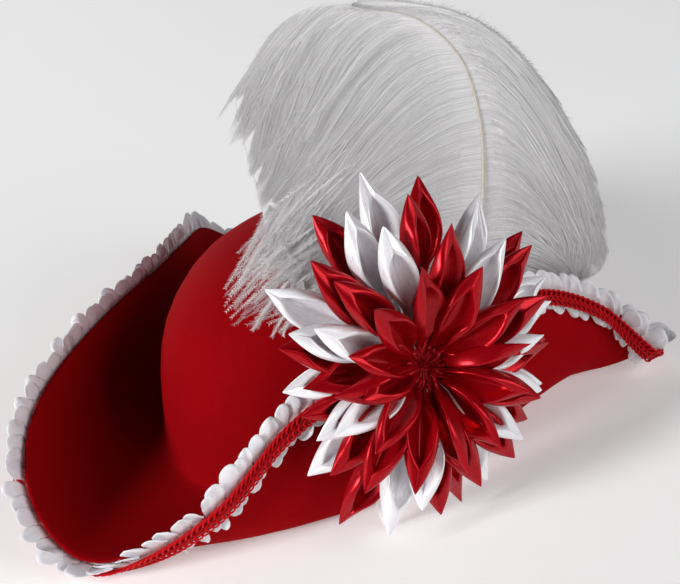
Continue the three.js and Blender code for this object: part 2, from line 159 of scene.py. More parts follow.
# The flower's place on the left flap, and how far its longest petals reach, in degrees
# anticlockwise from the top
FLOWER_AT = np.array([100.0, -34.0, 84.0])
FLOWER_TURN = -24
FLOWER_RISE = 16
FLOWER_OUTLINE = [
    (0, 104), (34, 97), (64, 78), (93, 68), (118, 80), (142, 100), (165, 90),
    (186, 86), (220, 82), (265, 80), (290, 91), (320, 96), (360, 104),
]
PAD_RADIUS = 13
PAD_BACK = -3
PAD_FRONT = 10
PAD_BEVEL = 2.5
HUB_STEP = 1.8
PETAL_ROOT = 5.0
INNER_ROOT = 11
# Each row's node, finish, count, turn, spread off the flower's axis, share of the outline,
# width and roll about the petal's own length
PETAL_ROWS = [
    ("petals_white_back", "white_satin", 9, 0, 97, 0.98, 19, 14),
    ("petals_red_back", "red_satin", 9, 20, 94, 0.95, 19, -12),
    ("petals_white_outer", "white_satin", 8, 11, 88, 0.92, 19, 18),
    ("petals_red_outer", "red_satin", 8, 33.5, 85, 0.89, 19, 18),
    ("petals_white_middle", "white_satin", 7, 5, 79, 0.81, 18.5, 20),
    ("petals_red_middle", "red_satin", 7, 30.7, 75, 0.79, 18.5, 20),
    ("petals_red_inner", "red_satin", 12, 0, 60, 0.67, 18, 27),
]
# A petal's body length in millimetres, and the share of its grid that the tail back to its root
# takes
PETAL_BODY = 47
PETAL_TAIL = 0.16
# A petal's outline, and the height of its rims, as shares at places along it
PETAL_OUTLINE = [
    (0, 0.36), (0.08, 0.57), (0.18, 0.8), (0.32, 0.97), (0.45, 1), (0.58, 0.95),
    (0.7, 0.82), (0.8, 0.61), (0.9, 0.33), (1, 0.02),
]
PETAL_RIMS = [
    (0, 0.42), (0.15, 0.8), (0.4, 1), (0.6, 0.84), (0.75, 0.5), (0.88, 0.22), (1, 0.02),
]
# The rim's crest between the petal's middle and its outline, and the rim's outer face at places
# past the crest: shares of the way out and of the height
CREST_AT = 0.5
CREST_WIDTH = 0.82
CREST_LEAST = 0.1
RIM_PLACES = [0, 1 / 3, 2 / 3, 1]
RIM_OUT = [0, 0.7, 1, 0.84]
RIM_HEIGHT = [1, 0.86, 0.45, 0.05]
PETAL_MOUTH = 0.4
PETAL_FLOOR = 1
PETAL_GATHER = 0.3
PETAL_GRID = (12, 19)
# How far one petal strays from the next
PETAL_STRAY = {
    "mouth": 0.02,
    "twist": math.radians(20),
    "bend": 3.0,
    "sway": 3.0,
    "body": 0.06,
    "rims": 0.2,
    "around": 0.06,
    "spread": 1.5,
    "roll": 13,
}
# Colours of the satin's gloss, and its roughness
RED_GLOSS = (1, 0.05, 0.065)
WHITE_GLOSS = (1, 1, 1)
RED_ROUGHNESS = 0.27
WHITE_ROUGHNESS = 0.28
HEART_ROUGHNESS = 0.34
# The middle's satin is the red made darker by HEART_SHADE: painted shade for the shadow deep in the
# flower's middle
HEART_SHADE = 0.45
# The gathered middle of the flower, and its frayed threads
HEART_REACH = 13
HEART_RISE = 2.4
HEART_DIMPLE = 3.0
HEART_PLEATS = 11
HEART_GRID = (66, 9)
HEART_WELD = 2e-5
HEART_THICKNESS = 0.0005
PLEAT_HEIGHT = 0.8
THREADS = 30
THREAD_POINTS = 6
THREAD_RADIUS = 0.24
THREAD_SPREAD = 3.6
THREAD_RISE = 6
THREAD_ROLL = np.array([0.3, 0.5, 0.8])

# The quill's route up from the flap, and its radii at places along it
QUILL_PATH = [
    (109.8, 26, 56), (106, 33, 78), (92, 42, 100), (88, 56, 135),
    (82, 66, 170), (70, 69, 202), (53, 58, 225), (32, 34, 238),
]
QUILL_RADII = [(0, 0.6), (0.03, 1.0), (0.45, 0.85), (0.75, 0.4), (1, 0.05)]
QUILL_STATIONS = 90
QUILL_SIDES = 10
# The plume's facing, where its barbs start up the quill, and how far behind the quill they lie
PLUME_TURN = -30
PLUME_RISE = 18
FIRST_BARB = 0.2
BACKING_DEPTH = 3
ROOT_LIFT = 2.4
ROOT_FADE = 0.05
# How far down the quill a barb's end is swept on each side, and the power of its curl
BARB_SWEEP = {"left": 0.3, "right": 0.46}
BARB_CURL = {"left": 1.4, "right": 1.9}
# The close part of the barbs, as shares of their length at places up the quill
CLOSE_REACH = {
    "left": [(0, 0.8), (0.25, 0.83), (0.5, 0.92), (0.62, 0.98), (1, 1.0)],
    "right": [(0, 1.0), (0.15, 0.97), (0.35, 0.9), (0.8, 0.88), (1, 0.92)],
}
VANE_GRID = (72, 14)
VANE_THICKNESS = 0.0006
VANE_WAVE = 0.4
BARB_POINTS = 11
LOCK_PULL = 0.35
LOCK_BEND = 0.014
# Locks that stand out at the tip: extra reach, place up the quill and width
STRAY_LOCKS = [(0.14, 1.15, 0.012), (0.06, 1.03, 0.014)]
# Heights of barbs off the vane's front and back
OFF_VANE = {1: 0.5, -1: 0.9}
# Widths of a short hair of the plume and of a loose barb's barbule, at root and end
HAIR_WIDTHS = np.array([0.28, 0.08])[None, :, None]
BARBULE_WIDTHS = np.array([0.2, 0.06])[None, :, None]
HAIR_LENGTHS = (3, 7)
WISP_POINTS = 60
WISP_SHARE = 0.52
WISP_SWEEP = 0.1
# Ends and arch of the barbs, up each side of the quill
BARB_ENDS = {
    "left": [
        (58, -52, 98, 12), (28, -70, 110, 16), (19, -62, 130, 18),
        (4, -34, 160, 20), (-14, -16, 196, 18), (-4, 2, 224, 8),
    ],
    "right": [
        (106, 82, 60, 10), (133, 105, 68, 16), (133, 112, 98, 18),
        (116, 110, 142, 18), (92, 98, 188, 14), (42, 58, 232, 4),
    ],
}

# The camera, about the middle of the head opening
CAMERA_AT = (597.1, -574.6, 599.9)
CAMERA_LOOKS_AT = (-10.3, 36.2, 48.0)
SENSOR_WIDTH = 36

# The lights' azimuth from the front, rise and size, with their distance and the floor in metres
LIGHTS = {"key": (-14, 24, 1.0), "fill": (98, 26, 2.0), "rim": (-112, 12, 1.2)}
LIGHT_DISTANCE = 3
LIT_HEIGHT = 0.08
FLOOR_SIZE = 6


def placed(points):
    """Points in the part's frame, in metres, from millimetres about the head opening"""
    return np.asarray(points) * MM + HEAD_CENTRE


def unit(vectors):
    """Vectors at length 1"""
    return vectors / np.linalg.norm(vectors, axis=-1, keepdims=True)


def smooth_step(low, high, value):
    """0 below low, 1 above high and an easy rise between"""
    share = np.clip((value - low) / (high - low), 0, 1)
    return share * share * (3 - 2 * share)


def draws(chance, count, limit):
    """Normal draws that stay within a limit"""
    return np.clip(chance.normal(size=count), -limit, limit)


def plan_points(degrees, reach, height):
    """Points at angles and reaches in plan, at a height"""
    angle = np.radians(degrees)
    return np.stack([reach * np.cos(angle), reach * np.sin(angle), height + 0 * angle], axis=-1)


def facing(turn, rise):
    """The direction at an angle in plan and an angle above the horizon"""
    lift = math.radians(rise)
    return plan_points(turn, math.cos(lift), math.sin(lift))


def curve_through(points, closed):
    """A centripetal spline through points, as a function of shares from 0 to 1"""
    points = np.asarray(points, float)
    count = len(points)
    ends = [2 * points[0] - points[1], 2 * points[-1] - points[-2]]
    if closed:
        knots = np.concatenate([points[-1:], points, points[:2]])
    else:
        knots = np.concatenate([ends[:1], points, ends[1:]])

    def at(share):
        share = np.asarray(share, float)
        place = share % 1 * count if closed else share * (count - 1)
        first = np.clip(np.floor(place).astype(int), 0, count - (1 if closed else 2))
        step = (place - first)[..., None]
        before, start, end, after = (knots[first + offset] for offset in range(4))
        gaps = [
            np.sqrt(np.linalg.norm(b - a, axis=-1, keepdims=True))
            for a, b in ((before, start), (start, end), (end, after))
        ]
        pace = (end - start) / gaps[1]
        leave = (start - before) / gaps[0] - (end - before) / (gaps[0] + gaps[1]) + pace
        arrive = pace - (after - start) / (gaps[1] + gaps[2]) + (after - end) / gaps[2]
        leave, arrive = leave * gaps[1], arrive * gaps[1]
        bend = 3 * (end - start) - 2 * leave - arrive
        return start + step * (leave + step * (bend + step * (2 * (start - end) + leave + arrive)))

    return at


def head_radius(angle):
    """Reach of the head opening's oval at an angle, at the felt's middle"""
    return 1 / np.hypot(np.cos(angle) / (HEAD_WIDTH / 2), np.sin(angle) / (HEAD_LENGTH / 2))


BRIM = dict(zip(BRIM_COLUMNS, np.array(BRIM_SECTIONS, float).T))
HEAD_REACH = head_radius(np.radians(BRIM["head"]))
head_curve = curve_through(plan_points(BRIM["head"], HEAD_REACH, 0), True)
fold_curve = curve_through(plan_points(BRIM["fold_at"], BRIM["fold_reach"], FELT / 2), True)
edge_curve = curve_through(
    plan_points(BRIM["edge_at"], BRIM["edge_reach"], BRIM["edge_height"]), True
)


def flap_points(t, s):
    """Points on the middle of the brim's felt: t round the hat, s from the ring to the edge"""
    t, s = np.broadcast_arrays(np.asarray(t, float), np.asarray(s, float))
    head = head_curve(t)
    angle = np.arctan2(head[..., 1], head[..., 0])
    reach = head_radius(angle) + HEADLINE_RADIUS + REST_RING
    start = plan_points(np.degrees(angle), reach, FELT / 2)
    fold, edge = fold_curve(t), edge_curve(t)
    rise = fold + FLAP_STRAIGHTNESS * (edge - fold)
    s = s[..., None]
    return (
        (1 - s) ** 3 * start
        + 3 * s * (1 - s) ** 2 * fold
        + 3 * s**2 * (1 - s) * rise
        + s**3 * edge
    )


def trim_points(t, below, out):
    """Points beside the brim's edge: below it down the flap, and out from the felt's middle"""
    t, below, out = np.broadcast_arrays(t, below, out)
    probe = 1e-3
    speed = np.linalg.norm(flap_points(t, 1 - probe) - flap_points(t, 1), axis=-1) / probe
    s = np.minimum(1, 1 - below / speed)
    points = flap_points(t, s)
    down = flap_points(t, s - probe) - points
    away = unit(np.cross(down, flap_points(t + probe, s) - points))
    return points + unit(down) * np.minimum(below, 0)[..., None] + away * out[..., None]


EDGE_SHARES = np.linspace(0, 1, 4001)
EDGE_LENGTHS = np.concatenate(
    [[0], np.cumsum(np.linalg.norm(np.diff(edge_curve(EDGE_SHARES), axis=0), axis=1))]
)
EDGE_LENGTH = EDGE_LENGTHS[-1]


def edge_share(along):
    """The share round the hat at a length along its edge"""
    return np.interp(np.asarray(along) % EDGE_LENGTH, EDGE_LENGTHS, EDGE_SHARES)


def add_piece(name, mesh, material, slot, *nodes):
    """An object of a mesh that is in its place, which stands for CAD nodes"""
    piece = bpy.data.objects.new(name, mesh)
    bpy.context.collection.objects.link(piece)
    mesh.materials.append(material)
    mesh.shade_smooth()
    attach(piece, "root")
    if nodes:
        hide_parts(*nodes)
    return piece


def mesh_of(bm, name):
    """A mesh from a bmesh, which is freed"""
    mesh = bpy.data.meshes.new(name)
    bm.to_mesh(mesh)
    bm.free()
    return mesh


def joined_mesh(name, parts, tones=None):
    """A mesh from parts of points in millimetres and faces, with a tone at each point"""
    points, faces, start = [], [], 0
    for part_points, part_faces in parts:
        points.append(part_points)
        faces += (np.asarray(part_faces) + start).tolist()
        start += len(part_points)
    mesh = bpy.data.meshes.new(name)
    mesh.from_pydata(placed(np.concatenate(points)).tolist(), [], faces)
    if tones is not None:
        tone = mesh.attributes.new("tone", "FLOAT", "POINT")
        tone.data.foreach_set("value", np.ravel(tones))
    return mesh


def wall(piece, thickness):
    """Gives a sheet its thickness, behind its face"""
    modifier = piece.modifiers.new("Wall", "SOLIDIFY")
    modifier.thickness = thickness
    modifier.offset = -1


def soften(piece, levels):
    """Rounds a piece by subdivision"""
    modifier = piece.modifiers.new("Soften", "SUBSURF")
    modifier.levels = modifier.render_levels = levels


def grid_sheet(bm, across, along, shape):
    """Adds a grid that goes to shape(x, y): x is -1 to 1 across it, y is 0 to 1 along it"""
    bm.loops.layers.uv.verify()
    grid = bmesh.ops.create_grid(
        bm, x_segments=across, y_segments=along, size=1, calc_uvs=True
    )
    verts = grid["verts"]
    flat = np.array([vert.co for vert in verts])
    for vert, point in zip(verts, placed(shape(flat[:, 0], (flat[:, 1] + 1) / 2))):
        vert.co = point


def swept_cords(paths, radius, sides, reference, closed=False):
    """Points and faces of tubes along paths (cord, step, place), rolled to a reference"""
    if closed:
        forward = unit(np.roll(paths, -1, axis=1) - np.roll(paths, 1, axis=1))
    else:
        forward = unit(np.gradient(paths, axis=1))
    side = unit(np.cross(forward, reference))
    lift = np.cross(side, forward)
    turn = np.arange(sides)[:, None] * TURN / sides
    radius = np.broadcast_to(radius, paths.shape[:2])[..., None, None]
    ring = np.cos(turn) * side[:, :, None] + np.sin(turn) * lift[:, :, None]
    points = paths[:, :, None] + radius * ring
    index = np.arange(points[..., 0].size).reshape(points.shape[:3])
    a, b = (index, np.roll(index, -1, axis=1)) if closed else (index[:, :-1], index[:, 1:])
    walls = np.stack([a, b, np.roll(b, -1, axis=2), np.roll(a, -1, axis=2)], axis=-1)
    return points.reshape(-1, 3), walls.reshape(-1, 4)


class Shade:
    """A shader socket that takes part in Python expressions"""

    def __init__(self, tree, socket=None):
        self.tree = tree
        self.socket = socket

    def node(self, kind, settings=None, inputs=None, output=0):
        """Adds a node: its settings first, then the values or links of its sockets"""
        made = self.tree.nodes.new(kind)
        for name, value in (settings or {}).items():
            setattr(made, name, value)
        for name, value in (inputs or {}).items():
            if isinstance(value, Shade):
                self.tree.links.new(value.socket, made.inputs[name])
            else:
                made.inputs[name].default_value = value
        return Shade(self.tree, made.outputs[output])

    def maths(self, operation, *values):
        return self.node("ShaderNodeMath", {"operation": operation}, dict(enumerate(values)))

    def __add__(self, other):
        return self.maths("ADD", self, other)

    __radd__ = __add__

    def __mul__(self, other):
        return self.maths("MULTIPLY", self, other)

    __rmul__ = __mul__

    def coordinates(self, kind="Object"):
        return self.node("ShaderNodeTexCoord", output=kind)

    def noise(self, vector, scale, detail=3, roughness=0.5):
        sockets = {"Vector": vector, "Scale": scale, "Detail": detail, "Roughness": roughness}
        return self.node("ShaderNodeTexNoise", None, sockets)

    def stretched(self, vector, scale):
        return self.node("ShaderNodeMapping", None, {"Vector": vector, "Scale": scale})

    def mix(self, factor, first, second):
        colours = [value if isinstance(value, Shade) else (*value, 1) for value in (first, second)]
        sockets = {0: factor, 6: colours[0], 7: colours[1]}
        return self.node("ShaderNodeMix", {"data_type": "RGBA"}, sockets, output=2)

    def bump(self, height, strength, distance):
        sockets = {"Height": height, "Strength": strength, "Distance": distance}
        return self.node("ShaderNodeBump", None, sockets)


def finish(name, dress, **constants):
    """A material: constants on the surface's sockets, and links for what dress gives"""
    made = bpy.data.materials.new(name)
    made.use_nodes = True
    surface = made.node_tree.nodes["Principled BSDF"]
    for socket, value in constants.items():
        surface.inputs[socket.replace("_", " ")].default_value = value
    for socket, value in dress(Shade(made.node_tree)).items():
        made.node_tree.links.new(value.socket, surface.inputs[socket])
    return made


def scaled(colour, share):
    """A colour made darker or lighter"""
    return tuple(channel * share for channel in colour)


def felt_finish(colour):
    """Blocked wool felt: matted fibres under a short nap, with faint cloudy patches"""

    def dress(shade):
        place = shade.coordinates()
        cloud = shade.noise(place, 26, 4, 0.55)
        nap = shade.noise(place, 420, 6, 0.7)
        fibre = shade.noise(shade.stretched(place, (1, 1, 0.35)), 2600, 3, 0.6)
        tone = shade.maths("MULTIPLY_ADD", nap, 0.55, cloud * 0.3 + fibre * 0.25)
        return {
            "Base Color": shade.mix(tone, scaled(colour, 0.62), scaled(colour, 1.3)),
            "Roughness": 0.82 + nap * 0.16,
            "Normal": shade.bump(nap * 0.6 + fibre * 0.4, 0.35, 0.0006),
        }

    return finish(
        "felt", dress, Specular_IOR_Level=0.05,
        Sheen_Weight=0.12, Sheen_Roughness=0.5, Sheen_Tint=(0.9, 0.02, 0.03, 1),
    )


def satin_finish(name, colour, roughness, gloss):
    """Satin ribbon: fine floats along the petal, faint rumples and a soft gloss"""

    def dress(shade):
        place = shade.coordinates()
        weave = shade.coordinates("UV")
        floats = shade.noise(shade.stretched(weave, (140, 9, 1)), 1, 2)
        rumple = shade.noise(place, 130, 3, 0.5)
        tone = floats * 0.6 + rumple * 0.4
        return {
            "Base Color": shade.mix(tone, scaled(colour, 0.92), scaled(colour, 1.06)),
            "Roughness": roughness - 0.05 + floats * 0.1,
            "Normal": shade.bump(rumple + floats * 0.06, 0.16, 0.0012),
        }

    return finish(name, dress, IOR=2.6, Specular_IOR_Level=0.5, Specular_Tint=(*gloss, 1))


def ribbon_finish(colour):
    """White ruched ribbon: a fine rib across it and shallow gathers"""

    def dress(shade):
        place = shade.coordinates()
        weave = shade.coordinates("UV")
        rib = shade.noise(shade.stretched(weave, (6, 60, 1)), 1, 2)
        rumple = shade.noise(place, 210, 3, 0.5)
        tone = rumple * 0.7 + rib * 0.3
        return {
            "Base Color": shade.mix(tone, scaled(colour, 0.88), scaled(colour, 1.06)),
            "Roughness": 0.42 + rib * 0.2,
            "Normal": shade.bump(rumple + rib * 0.3, 0.25, 0.0012),
        }

    return finish(
        "ribbon", dress, Sheen_Weight=0.2, Sheen_Roughness=0.35, Specular_IOR_Level=0.45,
        Subsurface_Weight=0.5, Subsurface_Radius=(1, 1, 1), Subsurface_Scale=0.0008,
    )


def braid_finish(colour):
    """Gimp cord: silky thread wrapped close round a core"""

    def dress(shade):
        place = shade.coordinates()
        thread = shade.noise(place, 1900, 3, 0.6)
        dye = shade.noise(place, 120, 2)
        tone = thread * 0.6 + dye * 0.4
        return {
            "Base Color": shade.mix(tone, scaled(colour, 0.6), scaled(colour, 1.35)),
            "Roughness": 0.38 + thread * 0.25,
            "Normal": shade.bump(thread, 0.3, 0.0004),
        }

    return finish("braid", dress, Specular_IOR_Level=0.35, Specular_Tint=(1, 0.1, 0.12, 1))


def plume_finish(name, colour, streaks):
    """Feather barbs: pale, with a tone for each strand or fine streaks along them"""

    def dress(shade):
        place = shade.coordinates()
        if streaks:
            along = shade.stretched(shade.coordinates("UV"), (170, 4, 1))
            strand = shade.noise(along, 1, 4, 0.65)
        else:
            strand = shade.node("ShaderNodeAttribute", {"attribute_name": "tone"}, output="Fac")
        down = shade.noise(place, 900, 3, 0.6)
        tone = strand * 0.8 + down * 0.2
        return {
            "Base Color": shade.mix(tone, scaled(colour, 0.8), scaled(colour, 1.22)),
            "Roughness": 0.55 + down * 0.25,
            "Normal": shade.bump(strand + down * 0.3, 0.2, 0.001),
        }

    return finish(name, dress, Sheen_Weight=0.4, Sheen_Roughness=0.4, Specular_IOR_Level=0.25)


def horn_finish(colour):
    """The feather's shaft: smooth horn, streaked along its length"""

    def dress(shade):
        place = shade.coordinates()
        streak = shade.noise(shade.stretched(place, (1, 1, 0.08)), 900, 3, 0.6)
        return {
            "Base Color": shade.mix(streak, scaled(colour, 0.7), scaled(colour, 1.25)),
            "Roughness": 0.34 + streak * 0.2,
        }

    return finish("horn", dress, Specular_IOR_Level=0.45)


class FeltSettings(bpy.types.PropertyGroup):
    colour: FloatVectorProperty(
        name="Colour", description="Dye of the felt",
        subtype="COLOR", default=(0.3, 0.0005, 0.003), min=0, max=1,
    )
    waver: FloatProperty(
        name="Waver", description="How far the blocked felt strays from its form",
        unit="LENGTH", default=0.0012, min=0, max=0.004,
    )


class TrimSettings(bpy.types.PropertyGroup):
    ribbon: FloatVectorProperty(
        name="Ribbon", description="Colour of the ruched ribbon",
        subtype="COLOR", default=(0.88, 0.87, 0.92), min=0, max=1,
    )
    braid: FloatVectorProperty(
        name="Braid", description="Colour of the gimp braid",
        subtype="COLOR", default=(0.56, 0.007, 0.012), min=0, max=1,
    )
    scallops: IntProperty(
        name="Scallops", description="Scallops along the whole edge",
        default=138, min=40, max=180,
    )
    reach: FloatProperty(
        name="Reach", description="How far the scallops stand past the felt",
        unit="LENGTH", default=0.0102, min=0.004, max=0.02,
    )
    hang: FloatProperty(
        name="Hang", description="How far below the felt's edge the lower scallops end",
        unit="LENGTH", default=0.0168, min=0.011, max=0.024,
    )
    ribbon_thickness: FloatProperty(
        name="Ribbon thickness", description="Thickness of the folded ribbon",
        unit="LENGTH", default=0.0004, min=0.0002, max=0.001,
    )
    loops: IntProperty(
        name="Loops", description="Loops in each row of the braid",
        default=300, min=100, max=400,
    )
    cord: FloatProperty(
        name="Cord", description="Thickness of the braid's cord",
        unit="LENGTH", default=0.0013, min=0.0006, max=0.002,
    )


class FlowerSettings(bpy.types.PropertyGroup):
    red: FloatVectorProperty(
        name="Red", description="Colour of the red satin",
        subtype="COLOR", default=(0.265, 0.0008, 0.0045), min=0, max=1,
    )
    white: FloatVectorProperty(
        name="White", description="Colour of the white satin",
        subtype="COLOR", default=(0.94, 0.93, 0.97), min=0, max=1,
    )
    rim: FloatProperty(
        name="Rim", description="Height of a petal's rolled rim over its hollow",
        unit="LENGTH", default=0.0108, min=0.001, max=0.015,
    )
    thickness: FloatProperty(
        name="Thickness", description="Thickness of the folded ribbon",
        unit="LENGTH", default=0.0007, min=0.0002, max=0.0015,
    )


class PlumeSettings(bpy.types.PropertyGroup):
    colour: FloatVectorProperty(
        name="Colour", description="Colour of the barbs",
        subtype="COLOR", default=(0.7, 0.69, 0.7), min=0, max=1,
    )
    quill: FloatVectorProperty(
        name="Quill", description="Colour of the shaft",
        subtype="COLOR", default=(0.62, 0.56, 0.46), min=0, max=1,
    )
    strands: IntProperty(
        name="Strands", description="Barbs on each side of the quill",
        default=8400, min=500, max=9000,
    )
    back_strands: IntProperty(
        name="Back strands", description="Barbs over the back of each side",
        default=1900, min=0, max=9000,
    )
    strand: FloatProperty(
        name="Strand", description="Width of a barb at its root",
        unit="LENGTH", default=0.0004, min=0.0002, max=0.002,
    )
    wisps: IntProperty(
        name="Wisps", description="Loose barbs that fall over the crown",
        default=130, min=0, max=400,
    )
    barbule: FloatProperty(
        name="Barbule", description="Length of the hairs along a loose barb",
        unit="LENGTH", default=0.0034, min=0.0005, max=0.01,
    )
    locks: IntProperty(
        name="Locks", description="Locks that the barbs of a side draw into",
        default=34, min=5, max=90,
    )


class StageSettings(bpy.types.PropertyGroup):
    floor: FloatVectorProperty(
        name="Floor", description="Colour of the floor",
        subtype="COLOR", default=(0.95, 0.95, 0.95), min=0, max=1,
    )
    glow: FloatProperty(
        name="Glow", description="Light that the floor itself gives",
        default=0.22, min=0, max=1,
    )
    key: FloatProperty(
        name="Key", description="Power of the main light",
        unit="POWER", default=77, min=0, max=500,
    )
    fill: FloatProperty(
        name="Fill", description="Power of the light from the left",
        unit="POWER", default=39, min=0, max=500,
    )
    rim: FloatProperty(
        name="Rim", description="Power of the low light from the right",
        unit="POWER", default=26, min=0, max=500,
    )
    sky: FloatProperty(
        name="Sky", description="Strength of the light all round",
        default=0.05, min=0, max=5,
    )
    lens: FloatProperty(
        name="Lens", description="Focal length of the camera",
        default=92.75, min=20, max=300,
    )
    roll: FloatProperty(
        name="Roll", description="Turn of the camera about its view",
        subtype="ANGLE", default=math.radians(8.8),
    )


class TricornSettings(bpy.types.PropertyGroup):
    felt: PointerProperty(type=FeltSettings)
    trim: PointerProperty(type=TrimSettings)
    flower: PointerProperty(type=FlowerSettings)
    plume: PointerProperty(type=PlumeSettings)
    stage: PointerProperty(type=StageSettings)


class TRICORN_OT_felt(bpy.types.Operator):
    """Crown and cocked brim, blocked from one piece of felt"""

    bl_idname = "tricorn.felt"
    bl_label = "Felt body"

    def execute(self, context):
        settings = context.scene.tricorn.felt
        noise.seed_set(SEEDS["felt"])
        bm = bmesh.new()
        bm.from_mesh(frame["nodes"]["felt_body"].data)
        bmesh.ops.remove_doubles(bm, verts=bm.verts, dist=WELD)
        bmesh.ops.join_triangles(
            bm, faces=bm.faces, angle_face_threshold=JOIN_FLAT, angle_shape_threshold=JOIN_SQUARE
        )
        for vert in bm.verts:
            stray = noise.noise_vector(vert.co * WAVER_PITCH) * settings.waver
            vert.co += stray * float(smooth_step(*WAVER_HEIGHTS, vert.co.z))
        mesh = mesh_of(bm, "blocked_felt")
        material = felt_finish(settings.colour)
        piece = add_piece("blocked_felt", mesh, material, "red_felt", "felt_body")
        soften(piece, 1)
        return {"FINISHED"}


class TRICORN_OT_ruffle(bpy.types.Operator):
    """White ruched ribbon along the edge, in scallops past the felt and below the braid"""

    bl_idname = "tricorn.ruffle"
    bl_label = "Ribbon ruffle"

    def execute(self, context):
        settings = context.scene.tricorn.trim
        chance = np.random.default_rng(SEEDS["ruffle"])
        pitch = EDGE_LENGTH / settings.scallops
        bm = bmesh.new()
        mean, spread_of = SCALLOP_MEASURES.T
        ends = (-settings.reach / MM, settings.hang / MM)
        for end, (side, fullness, shift) in zip(ends, SCALLOP_ROWS):
            for i in range(settings.scallops):
                vary = draws(chance, len(mean), SCALLOP_LIMIT)
                measures = mean + spread_of * vary
                stray, wide, far, lean, curl, puff, shingle, crease, dent, point = measures
                middle = (i + shift + stray) * pitch
                width = pitch * fullness * wide
                tip = end * far
                point = max(0, point)

                def scallop(x, y):
                    x = x * side
                    spread = np.interp(y, [0, 0.3, 0.6, 1], [0.7, 0.86, 1, 0.9 - point])
                    corner = 1 - np.sqrt(1 - 0.97 * x**2) + point * np.abs(x)
                    rounded = smooth_step(0.25, 1, y) * corner * CORNER_DEPTH * width
                    along = middle + x * spread * width / 2 + lean * y
                    below = RIBBON_ROOT + (tip - RIBBON_ROOT) * y + side * rounded
                    free = smooth_step(0.2, 0.7, y)
                    fold = np.exp(-(((x - crease) / CREASE_WIDTH) ** 2)) * (1 - 0.5 * y)
                    swell = puff * (1 - x**2) + shingle * x - dent * fold
                    out = RIBBON_OUT + free * swell + curl * y**3
                    return trim_points(edge_share(along), below, out)

                grid_sheet(bm, *SCALLOP_GRID, scallop)
        mesh = mesh_of(bm, "ruched_ribbon")
        material = ribbon_finish(settings.ribbon)
        piece = add_piece("ruched_ribbon", mesh, material, "white_ribbon", "ribbon_ruffle")
        wall(piece, settings.ribbon_thickness)
        return {"FINISHED"}


class TRICORN_OT_braid(bpy.types.Operator):
    """Red gimp braid on the ribbon: two rows of slanted cord loops that meet in a herringbone"""

    bl_idname = "tricorn.braid"
    bl_label = "Gimp braid"

    def execute(self, context):
        settings = context.scene.tricorn.trim
        radius = settings.cord / MM / 2
        parts = []

        middle = (BRAID_TOP + BRAID_FOOT) / 2
        ring = np.arange(LOOP_POINTS) / LOOP_POINTS * TURN
        places = np.arange(settings.loops)[:, None] * EDGE_LENGTH / settings.loops
        cosine, sine = math.cos(LOOP_SLANT), math.sin(LOOP_SLANT)
        long, short = LOOP_LENGTH * np.cos(ring), LOOP_WIDTH * np.sin(ring)
        for side in (-1, 1):
            along = places + long * cosine - short * sine
            below = middle + side * (LOOP_ROW + long * sine + short * cosine) + 0 * along
            domed = DOME_HEIGHT * (1 - ((below - middle) / DOME_WIDTH) ** 2)
            crossing = LOOP_CROSSING * np.sin(ring)
            out = BRAID_OUT + LOOP_LIFT + domed + crossing + LOOP_TILT * np.cos(ring)
            paths = trim_points(edge_share(along), below, out)
            above = trim_points(edge_share(along), below, out + 1) - paths
            parts.append(swept_cords(paths, radius, CORD_SIDES, above, closed=True))

        stations = np.linspace(0, EDGE_LENGTH, TAPE_STATIONS, endpoint=False)[None, :, None]
        top, foot = BRAID_TOP + TAPE_INSET, BRAID_FOOT - TAPE_INSET
        depths = np.array([top, foot, foot, top])
        outs = BRAID_OUT - TAPE_DEPTH + np.array([0, 0, TAPE_THICKNESS, TAPE_THICKNESS])
        tape = trim_points(edge_share(stations), depths, outs)[0]
        index = np.arange(tape[..., 0].size).reshape(tape.shape[:2])
        after = np.roll(index, -1, axis=0)
        corners = [index, np.roll(index, -1, axis=1), np.roll(after, -1, axis=1), after]
        parts.append((tape.reshape(-1, 3), np.stack(corners, axis=-1).reshape(-1, 4)))

        mesh = joined_mesh("scrolled_braid", parts)
        add_piece("scrolled_braid", mesh, braid_finish(settings.braid), "red_braid", "gimp_braid")
        return {"FINISHED"}


class FlowerFrame:
    """The flower's own axes: out of its face, and right and up as it is seen"""

    out = facing(FLOWER_TURN, FLOWER_RISE)
    right = unit(np.cross(UP, out))
    up = np.cross(out, right)

    @classmethod
    def placed(cls, points):
        """Points of the flower in the hat's millimetres"""
        return FLOWER_AT + points @ np.stack([cls.right, cls.up, cls.out])


def petal_reach(degrees):
    """How far the flower's longest petals reach at an angle from its top"""
    around, reach = np.array(FLOWER_OUTLINE, float).T
    return float(np.interp(degrees % 360, around, reach))


